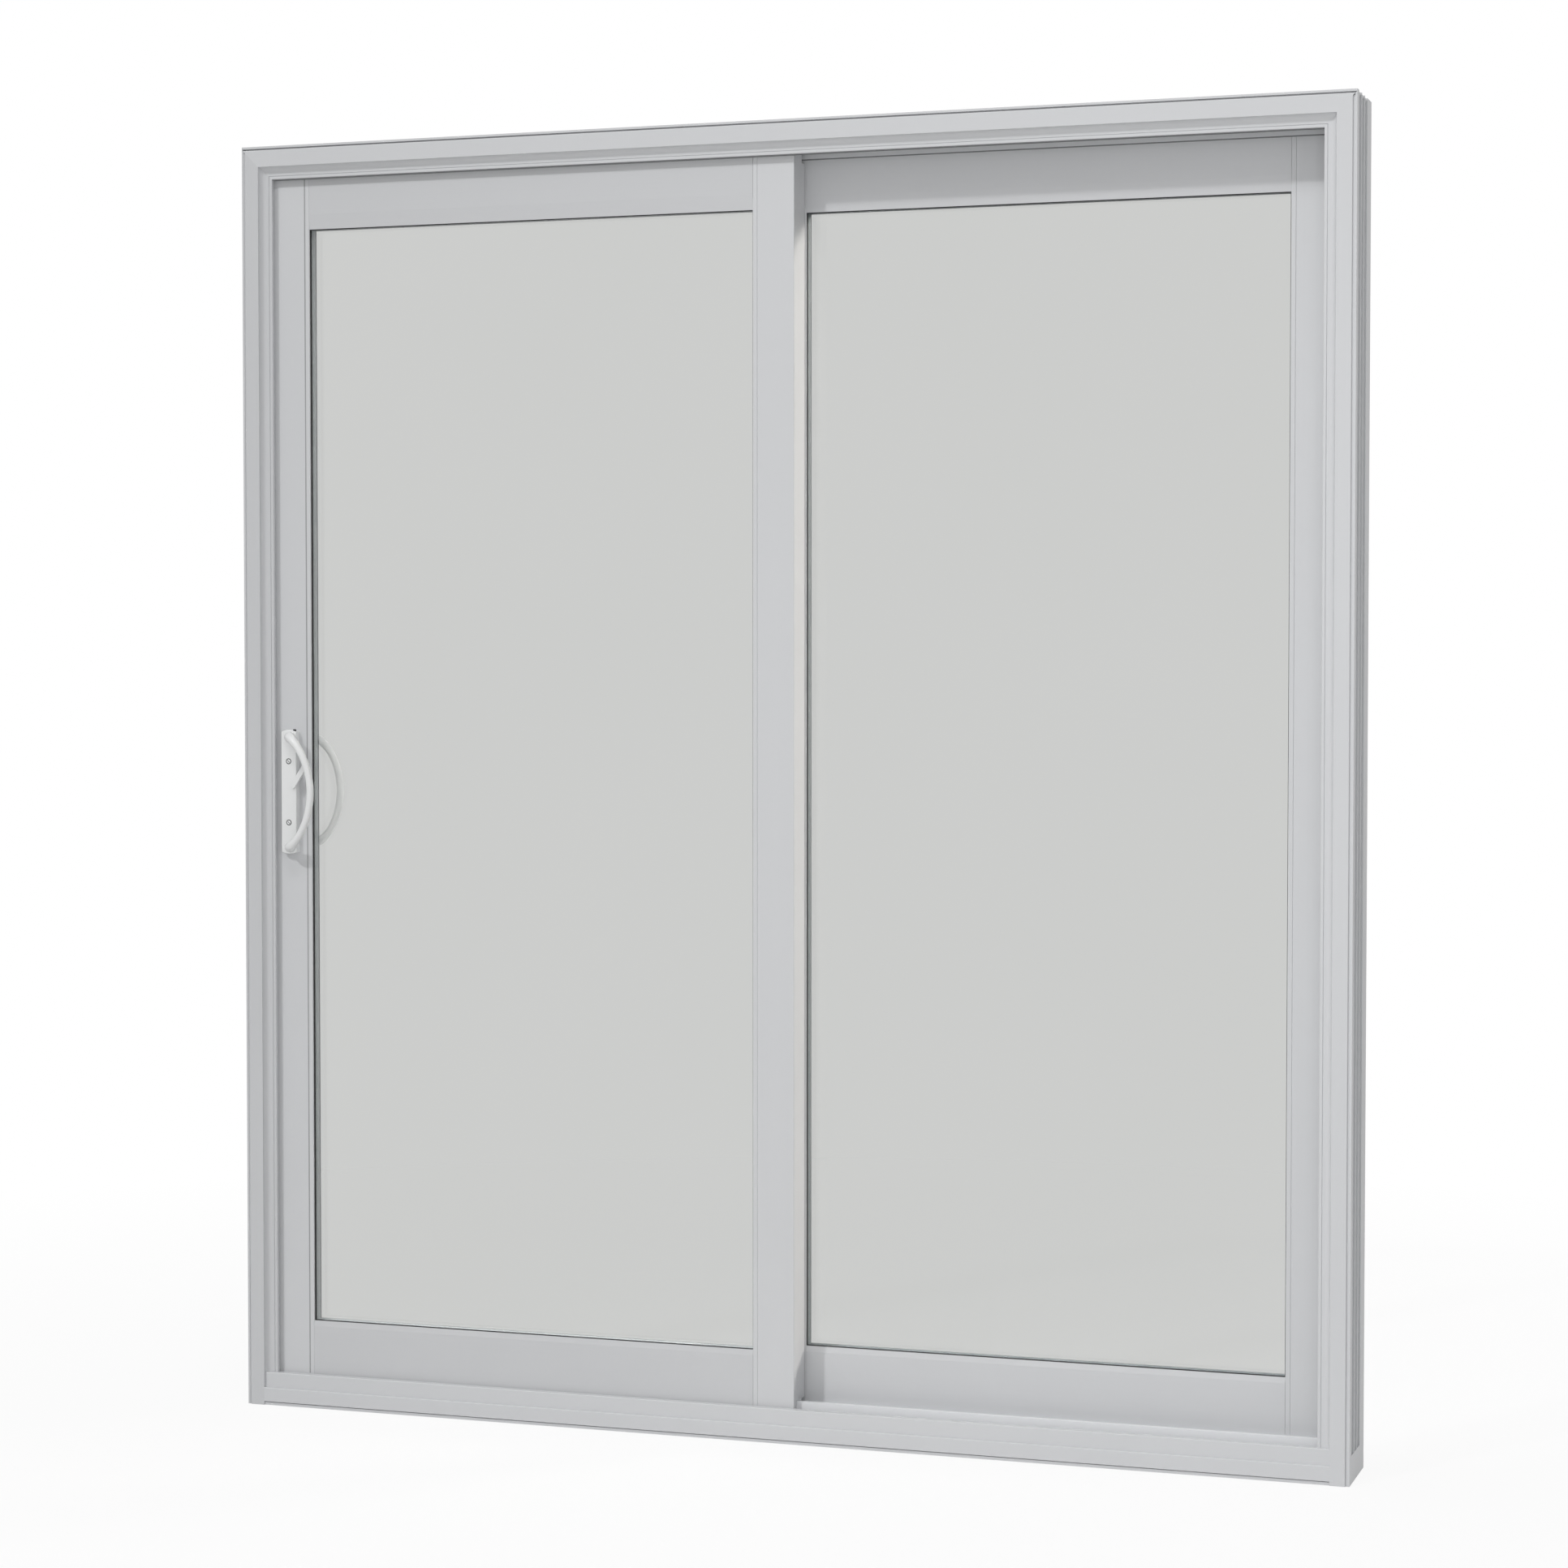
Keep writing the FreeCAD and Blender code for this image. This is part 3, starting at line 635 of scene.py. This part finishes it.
def screw_pair(place, spacing):
    """The names and places of two screws, half a spacing below and above a place."""
    x, y, z = place
    return ("lower", (x, y, z - spacing / 2)), ("upper", (x, y, z + spacing / 2))


def screw_head(radius, dome):
    """The profile of a low round screw head, as radius and height.

    Over a quarter turn a, the radius falls with cos 0.94a and the height rises from the rim by dome sin a.
    """
    turn = np.linspace(0.0, math.pi / 2, HEAD_STEPS)
    return [(radius, 0.0), *zip(radius * np.cos(turn * HEAD_SWEEP), HEAD_RIM + dome * np.sin(turn))]


def slot_shade_bar(place, direction, long, wide, proud):
    """A thin dark bar of painted shade that stands for a screw's slot: a leaning oblong carried out from the
    head.
    """
    u, v = across(direction)
    lean = (u + v) / math.sqrt(2.0)
    square = np.cross(direction, lean)
    outline = [(-long, -wide), (long, -wide), (long, wide), (-long, wide)]
    return extruded(outline, place, proud * np.asarray(direction, float), lean, square)


def make_screw(name, place, direction, radius, shade_ring, head, dark, body):
    """A screw head in a dark ring of painted shade for its recess, with a painted-shade slot across it."""
    dome = radius * DOME_SHARE
    edge = radius + shade_ring
    ring = [(edge, 0.0), (edge, RING_EDGE), (radius, RING_TOP), (radius * RING_HOLE, RING_TOP)]
    top = np.asarray(place, float) + dome * SLOT_START * np.asarray(direction, float)
    shells = [turned(ring, place, direction),
              slot_shade_bar(top, direction, radius * SLOT_LENGTH, radius * SLOT_WIDTH, dome * SLOT_RISE)]
    add_piece(f"{name}_recess", shells, body, dark)
    add_piece(f"{name}_head", [turned(screw_head(radius, dome), place, direction)], body, head)


def make_grub_screw(node, front, way, material):
    """A small dark screw in the upper end of a handle's plate, near its glass side."""
    trim = bpy.context.scene.patio_trim
    handle = bpy.context.scene.patio_handle
    low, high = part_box(node)
    half, arch = handle.plate_width / 2, handle.plate_arch
    radius = trim.grub_radius
    bend = arc_radius(half, arch)
    side = half - radius - handle.plate_round
    fall = bend - math.sqrt(bend ** 2 - side ** 2)
    place = (low.x + half + side, front - way * GRUB_DEPTH, high.z - fall - arch * GRUB_SINK)
    profile = [(radius, -GRUB_LENGTH), (radius, GRUB_EDGE), (radius * GRUB_CHAMFER, GRUB_TOP),
               (radius * GRUB_TIP, GRUB_TOP)]
    shell = turned(profile, place, (0.0, 0.0, 1.0))
    add_piece(f"{node}_grub_screw", [shell], "sliding_panel", material)


# Seals and strips

# Sizes in the CAD sections that the nodes' boxes don't give
SEAL_ROOM = 0.006
LIP_WALL = 0.0055
DIVIDER_WALL = 0.008
NOTCH_ROOM = 0.005
SEAM_PLACE = (-0.0087, -0.0069)
KERF_REACH = (0.0035, 0.006)
KERF_FLOOR = 0.008
KERF_END = 0.0093
JAMB_FACE = 0.0294

# Sizes of the seals and strips; a brush's are shares
BACKING = 0.0008
BRUSH_SHARE = 0.36
BRUSH_TAPER = 0.75
STRIP_INSET = 0.001
STRIP_DROP = 0.001
SEAM_PROUD = 0.0002
JAMB_COVER_DEPTH = 0.0029
SILL_COVER_DEPTH = 0.002
SILL_COVER_TOP = 0.0047
PLUG_ROOM = 0.0006
PLUG_DEPTH = 0.006


def seal_outline(width, height):
    """A pile seal's section: a flat backing with a tapered brush on it."""
    back, brush = width / 2, width * BRUSH_SHARE
    tip = brush * BRUSH_TAPER
    return [(-back, 0.0), (back, 0.0), (back, BACKING), (brush, BACKING), (tip, height), (-tip, height),
            (-brush, BACKING), (-back, BACKING)]


def make_seals(dark, pale):
    """Pile seals behind the lips of the head, the sill and the left jamb, against the sliding panel."""
    settings = bpy.context.scene.patio_trim
    head, sill, jamb = (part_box(name) for name in ("head", "sill", "left_jamb"))
    panel_low, panel_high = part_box("sliding_lock_stile")
    lip_back = panel_low.y - SEAL_ROOM
    half_run = -jamb[1].x
    outline = seal_outline(settings.seal_width, settings.seal_height)
    out = (0.0, 1.0, 0.0)
    top = (head[0].z + panel_high.z) / 2
    bottom = (sill[1].z + panel_low.z) / 2
    side = (jamb[1].x + panel_low.x) / 2
    run = (2 * half_run, 0.0, 0.0)
    # The head seal's dark wool is partly painted shade; the pale wool of the sill and jamb seals is painted
    # light.
    for name, height, material in (("head_seal", top, dark), ("sill_seal", bottom, pale)):
        shell = extruded(outline, (-half_run, lip_back, height), run, (0.0, 0.0, -1.0), out)
        add_piece(name, [shell], "frame", material)
    rise = (0.0, 0.0, head[0].z - sill[1].z)
    shell = extruded(outline, (side, lip_back, sill[1].z), rise, (1.0, 0.0, 0.0), out)
    add_piece("jamb_seal", [shell], "frame", pale)


def make_shade_strips(material):
    """Strips of painted shade under the head: one closes the gap behind its front lip, one lies on the
    divider.
    """
    head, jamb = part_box("head"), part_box("left_jamb")
    slide_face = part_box("sliding_lock_stile")[0].y
    fixed_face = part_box("fixed_jamb_stile")[0].y
    half_run = -jamb[1].x
    lip_front = slide_face - SEAL_ROOM - LIP_WALL
    for name, front, back in (("head_lip_painted_shade", lip_front, slide_face),
                              ("head_divider_painted_shade", fixed_face - DIVIDER_WALL, fixed_face)):
        shell = bar((-half_run, front + STRIP_INSET, head[0].z - STRIP_DROP),
                    (half_run, back - STRIP_INSET, head[0].z))
        add_piece(name, [shell], "frame", material)


def make_seam_shade(material):
    """A fine strip of painted shade in the seam of the lock stile, between the lips of the sill and the
    head.
    """
    low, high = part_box("sliding_lock_stile")
    bottom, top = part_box("sill")[1].z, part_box("head")[0].z
    left, right = (high.x + place for place in SEAM_PLACE)
    shell = bar((left, low.y - SEAM_PROUD, bottom), (right, low.y + SEAM_PROUD, top))
    add_piece("lock_stile_seam_shade", [shell], "sliding_panel", material)


def make_kerf_covers(material):
    """Cover strips sunk in the kerfs: upright ones from the floor to the mitres, and one along the sill."""
    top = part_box("head")[1].z - KERF_END
    for node, way in (("left_jamb", -1), ("right_jamb", 1)):
        low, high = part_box(node)
        edge = low.x if way < 0 else high.x
        left, right = sorted(edge - way * reach for reach in KERF_REACH)
        shell = bar((left, low.y + JAMB_COVER_DEPTH, 0.0), (right, low.y + KERF_FLOOR, top))
        add_piece(f"{node}_kerf_cover", [shell], "frame", material)
    low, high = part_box("sill")
    shell = bar((low.x + JAMB_FACE, low.y + SILL_COVER_DEPTH, KERF_REACH[0]),
                (high.x - JAMB_FACE, low.y + KERF_FLOOR, SILL_COVER_TOP))
    add_piece("sill_kerf_cover", [shell], "frame", material)


def make_dust_plug(material):
    """A guide that fills the notch in the sliding meeting stile: an arch carried along the roller rail."""
    rail_low, rail_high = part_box("roller_rail")
    stile_low, stile_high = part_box("sliding_meeting_stile")
    middle = (rail_low.y + rail_high.y) / 2
    half_rail = (rail_high.y - rail_low.y) / 2
    outer, inner = half_rail + NOTCH_ROOM, half_rail + PLUG_ROOM
    low, top, roof = stile_low.z, rail_high.z + NOTCH_ROOM, rail_high.z + PLUG_ROOM
    outline = [(outer, low), (outer, top), (-outer, top), (-outer, low), (-inner, low), (-inner, roof),
               (inner, roof), (inner, low)]
    start = (stile_high.x - PLUG_DEPTH, middle, 0.0)
    shell = extruded(outline, start, (PLUG_DEPTH - PLUG_ROOM, 0.0, 0.0), (0.0, 1.0, 0.0), (0.0, 0.0, 1.0))
    add_piece("dust_plug", [shell], "sliding_panel", material)


# Operators, one for each group of pieces


class PATIO_OT_vinyl(bpy.types.Operator):
    """Finish the vinyl members of the frame and of both panels"""

    bl_idname = "patio.vinyl"
    bl_label = "Vinyl Members"

    def execute(self, context):
        dress(UPRIGHTS, vinyl("upright_vinyl", "Z"))
        dress(LEVELS, vinyl("level_vinyl", "X"))
        # The left jamb and the sliding rails get darker vinyl as painted shade.
        dress(("left_jamb",), vinyl("left_jamb_painted_shade_vinyl", "Z", PAINTED_SHADE_TONE))
        dress(SLIDING_RAILS, vinyl("sliding_rail_painted_shade_vinyl", "X", PAINTED_SHADE_TONE))
        # The roller rail gets paler vinyl as painted light in its shaded channel.
        dress(("roller_rail",), vinyl("roller_rail_painted_light_vinyl", "X", PAINTED_LIGHT_TONE))
        return {"FINISHED"}


class PATIO_OT_glazing(bpy.types.Operator):
    """Finish the lites, the gaskets and the spacer bars"""

    bl_idname = "patio.glazing"
    bl_label = "Glazing"

    def execute(self, context):
        settings = context.scene.patio_finish
        dress(LITES, clear_glass())
        dress(GASKETS, ready("black_rubber_and_painted_shade", black_gasket))
        dress(("sliding_spacer",), grey_spacer("sliding_bar", settings.spacer))
        # The fixed bar's darker colour is painted shade.
        dress(("fixed_spacer",), grey_spacer("fixed_bar_painted_shade", settings.fixed_spacer))
        return {"FINISHED"}


class PATIO_OT_hardware(bpy.types.Operator):
    """Finish the thumb lever, the lock and the rollers"""

    bl_idname = "patio.hardware"
    bl_label = "Hardware"

    def execute(self, context):
        dress(("thumb_lever",), handle_enamel("lever_enamel", context.scene.patio_finish.enamel))
        dress(STEEL, ready("brushed_steel", brushed_steel))
        dress(NYLON, roller_nylon())
        return {"FINISHED"}


class PATIO_OT_handles(bpy.types.Operator):
    """Build both handles with their screws"""

    bl_idname = "patio.handles"
    bl_label = "Handles"

    def execute(self, context):
        trim = context.scene.patio_trim
        finish = context.scene.patio_finish
        # Dark rubber paints the shade of the screws' recesses and slots.
        dark = ready("black_rubber_and_painted_shade", black_gasket)
        # The outside handle's brighter enamel is painted light.
        for node, way, colour in (("inner_handle", -1, finish.enamel),
                                  ("outer_handle", 1, finish.outer_painted_light_enamel)):
            enamel = handle_enamel(f"{node}_enamel", colour)
            middle = make_handle(node, f"{node}_cast", way, enamel)
            for end, place in screw_pair(middle, trim.screw_spacing):
                make_screw(f"{node}_{end}_screw", place, (0.0, way, 0.0), trim.screw_radius,
                           trim.screw_shade_ring, enamel, dark, "sliding_panel")
            make_grub_screw(node, middle[1], way, dark)
        return {"FINISHED"}


class PATIO_OT_lock_screws(bpy.types.Operator):
    """Fix the lock's face plate and its keeper with two screws each"""

    bl_idname = "patio.lock_screws"
    bl_label = "Lock Screws"

    def execute(self, context):
        trim = context.scene.patio_trim
        steel = ready("brushed_steel", brushed_steel)
        # Dark rubber paints the shade of the screws' recesses and slots.
        dark = ready("black_rubber_and_painted_shade", black_gasket)
        for node, body, way in (("lock_plate", "sliding_panel", -1), ("lock_keeper", "frame", 1)):
            low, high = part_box(node)
            face = low.x if way < 0 else high.x
            middle = (face, (low.y + high.y) / 2, (low.z + high.z) / 2)
            for end, place in screw_pair(middle, trim.lock_screw_spacing):
                make_screw(f"{node}_{end}_screw", place, (way, 0.0, 0.0), trim.lock_screw_radius,
                           trim.screw_shade_ring / 2, steel, dark, body)
        return {"FINISHED"}


class PATIO_OT_seals(bpy.types.Operator):
    """Lay the pile seals, the strips of painted shade under the head and in the lock stile's seam, the kerf
    covers and the corner guide
    """

    bl_idname = "patio.seals"
    bl_label = "Seals and Strips"

    def execute(self, context):
        finish = context.scene.patio_finish
        # The dark wool is painted shade on the strips under the head and partly on the head seal.
        wool = pile_wool("dark_wool_and_painted_shade", finish.pile)
        make_seals(wool, pile_wool("pale_wool_painted_light", finish.pale_pile_painted_light))
        make_shade_strips(wool)
        make_seam_shade(seam_shade())
        trim_vinyl = vinyl("trim_vinyl", "Z")
        make_kerf_covers(trim_vinyl)
        make_dust_plug(trim_vinyl)
        return {"FINISHED"}


class PATIO_OT_stage(bpy.types.Operator):
    """Set up the floor, the lamps, the white surroundings and the camera"""

    bl_idname = "patio.stage"
    bl_label = "Studio Stage"

    def execute(self, context):
        settings = context.scene.patio_stage
        make_floor(settings)
        make_sky(settings)
        make_lamps(settings)
        make_camera(settings)
        context.scene.view_settings.view_transform = "Standard"
        return {"FINISHED"}


# Stage

CAMERA_PLACE = (1.69107, -5.04349, 1.20348)
CAMERA_TILT = math.radians(87.987)
CAMERA_TURN = math.radians(18.514)
SENSOR_WIDTH = 36.0
FLOOR_RINGS = 24
FLOOR_SIDES = 72
FLOOR_HUB = 0.001
FLOOR_DROP = 0.0005
FLOOR_COLOUR = (0.7, 0.7, 0.7, 1.0)
FLOOR_ROUGHNESS = 0.9
FLOOR_SHADOW = 0.08
SHADOW_FADE = (1.0, 3.0)
WHITE = (1.0, 1.0, 1.0)
WARM = (1.0, 0.95, 0.88)
KEY_TRAVEL = (0.398, 0.705, -0.694)
KEY_ANGLE = math.radians(3.0)
FILL_PLACE = (1.0, -2.4, 1.4)
FILL_TARGET = (0.5, 0.0, 1.1)
FILL_SIZE = (1.6, 1.6)
TOP_PLACE = (0.3, -3.2, 5.6)
TOP_TARGET = (0.1, -0.1, 0.0)
TOP_SIZE = (2.2, 0.6)
OUTSIDE_PLACE = (1.35, 1.35, 2.05)
OUTSIDE_TARGET = (0.03, 0.0, 1.1)
OUTSIDE_SIZE = (0.5, 2.2)
OUTSIDE_SPREAD = math.radians(25.0)


def make_camera(settings):
    """The photograph's view, for a square picture."""
    camera = bpy.data.objects.new("camera", bpy.data.cameras.new("camera"))
    camera.data.sensor_fit = "HORIZONTAL"
    camera.data.sensor_width = SENSOR_WIDTH
    camera.data.lens = settings.lens
    camera.location = CAMERA_PLACE
    camera.rotation_euler = (CAMERA_TILT, 0.0, CAMERA_TURN)
    bpy.context.scene.collection.objects.link(camera)
    bpy.context.scene.camera = camera


def make_floor(settings):
    """A round pale floor that shows nearly white and keeps a soft shadow near the door.

    Points lie at (r cos t, r sin t) for rings of radius r, just under the door.
    """
    rings = np.linspace(FLOOR_HUB, settings.floor_radius, FLOOR_RINGS)
    turn = np.linspace(0.0, 2.0 * math.pi, FLOOR_SIDES, endpoint=False)
    x, y = np.outer(rings, np.cos(turn)), np.outer(rings, np.sin(turn))
    points = np.stack([x, y, np.full_like(x, -FLOOR_DROP)], axis=-1).reshape(-1, 3)
    mesh = bpy.data.meshes.new("floor")
    mesh.from_pydata(points.tolist(), [], grid_faces(len(rings), len(turn))[:, ::-1].tolist())
    floor = bpy.data.objects.new("floor", mesh)
    bpy.context.scene.collection.objects.link(floor)
    finish = Finish("floor")
    finish.set(Base_Color=FLOOR_COLOUR, Roughness=FLOOR_ROUGHNESS)
    reach = finish.node("ShaderNodeVectorMath", {"operation": "LENGTH"}, {0: finish.place()}, "Value")
    near, far = SHADOW_FADE
    inputs = {"Value": reach, "From Min": near, "From Max": far, "To Min": 1.0 - FLOOR_SHADOW, "To Max": 1.0}
    fade = finish.node("ShaderNodeMapRange", None, inputs)
    level = finish.shown_level(settings.backdrop)
    glow = finish.node("ShaderNodeEmission", None, {"Strength": level})
    # A diffuse ray's level is 0, so it meets the plain pale shader
    finish.mix(fade * level.math("CEIL", level), glow)
    mesh.materials.append(finish.material)


def make_sky(settings):
    """Even light from all round, which shows as white."""
    world = bpy.data.worlds.new("studio")
    bpy.context.scene.world = world
    world.use_nodes = True
    sky = Graph(world.node_tree)
    background = sky.tree.nodes["Background"]
    background.inputs["Color"].default_value = (*WHITE, 1.0)
    level = sky.shown_level(settings.backdrop)
    sky.feed(background.inputs["Strength"], level.math("MAXIMUM", level, settings.sky))


def add_lamp(name, kind, travel, strength, colour=WHITE):
    """A lamp that shines along a direction."""
    lamp = bpy.data.objects.new(name, bpy.data.lights.new(name, kind))
    lamp.data.energy = strength
    lamp.data.color = colour
    lamp.rotation_euler = Vector(travel).to_track_quat("-Z", "Y").to_euler()
    bpy.context.scene.collection.objects.link(lamp)
    return lamp


def add_soft_lamp(name, place, target, size, strength, colour=WHITE):
    """An oblong soft lamp that faces a point."""
    lamp = add_lamp(name, "AREA", np.subtract(target, place), strength, colour)
    lamp.data.shape = "RECTANGLE"
    lamp.data.size, lamp.data.size_y = size
    lamp.location = place
    return lamp


def make_lamps(settings):
    """A crisp key from the upper left, two soft lamps on the room side and a warm beam from outside.

    No lamp shows through glass, and the fill at the right doesn't show in gloss either.
    """
    key = add_lamp("key", "SUN", KEY_TRAVEL, settings.key)
    key.data.angle = KEY_ANGLE
    fill = add_soft_lamp("fill", FILL_PLACE, FILL_TARGET, FILL_SIZE, settings.fill)
    fill.visible_glossy = False
    top = add_soft_lamp("top", TOP_PLACE, TOP_TARGET, TOP_SIZE, settings.top)
    outside = add_soft_lamp("outside", OUTSIDE_PLACE, OUTSIDE_TARGET, OUTSIDE_SIZE, settings.outside, WARM)
    outside.data.spread = OUTSIDE_SPREAD
    for lamp in (key, fill, top, outside):
        lamp.visible_transmission = False


# Add-on

SETTINGS = {"patio_finish": FinishSettings, "patio_handle": HandleSettings, "patio_trim": TrimSettings,
            "patio_stage": StageSettings}
OPERATORS = (PATIO_OT_vinyl, PATIO_OT_glazing, PATIO_OT_hardware, PATIO_OT_handles, PATIO_OT_lock_screws,
             PATIO_OT_seals, PATIO_OT_stage)


class PATIO_PT_sidebar(bpy.types.Panel):
    """Lists the door's pieces and their settings"""

    bl_label = "Patio Door"
    bl_space_type = "VIEW_3D"
    bl_region_type = "UI"
    bl_category = "Patio Door"

    def draw(self, context):
        for operator in OPERATORS:
            self.layout.operator(operator.bl_idname)
        for name, group in SETTINGS.items():
            for setting in group.__annotations__:
                self.layout.prop(getattr(context.scene, name), setting)


CLASSES = (*SETTINGS.values(), *OPERATORS, PATIO_PT_sidebar)


def register():
    for kind in CLASSES:
        bpy.utils.register_class(kind)
    for name, group in SETTINGS.items():
        setattr(bpy.types.Scene, name, PointerProperty(type=group))


def unregister():
    for name in SETTINGS:
        delattr(bpy.types.Scene, name)
    for kind in reversed(CLASSES):
        bpy.utils.unregister_class(kind)


def main():
    register()
    bpy.ops.patio.vinyl()
    bpy.ops.patio.glazing()
    bpy.ops.patio.hardware()
    bpy.ops.patio.handles()
    bpy.ops.patio.lock_screws()
    bpy.ops.patio.seals()
    bpy.ops.patio.stage()


if __name__ == "__main__":
    main()
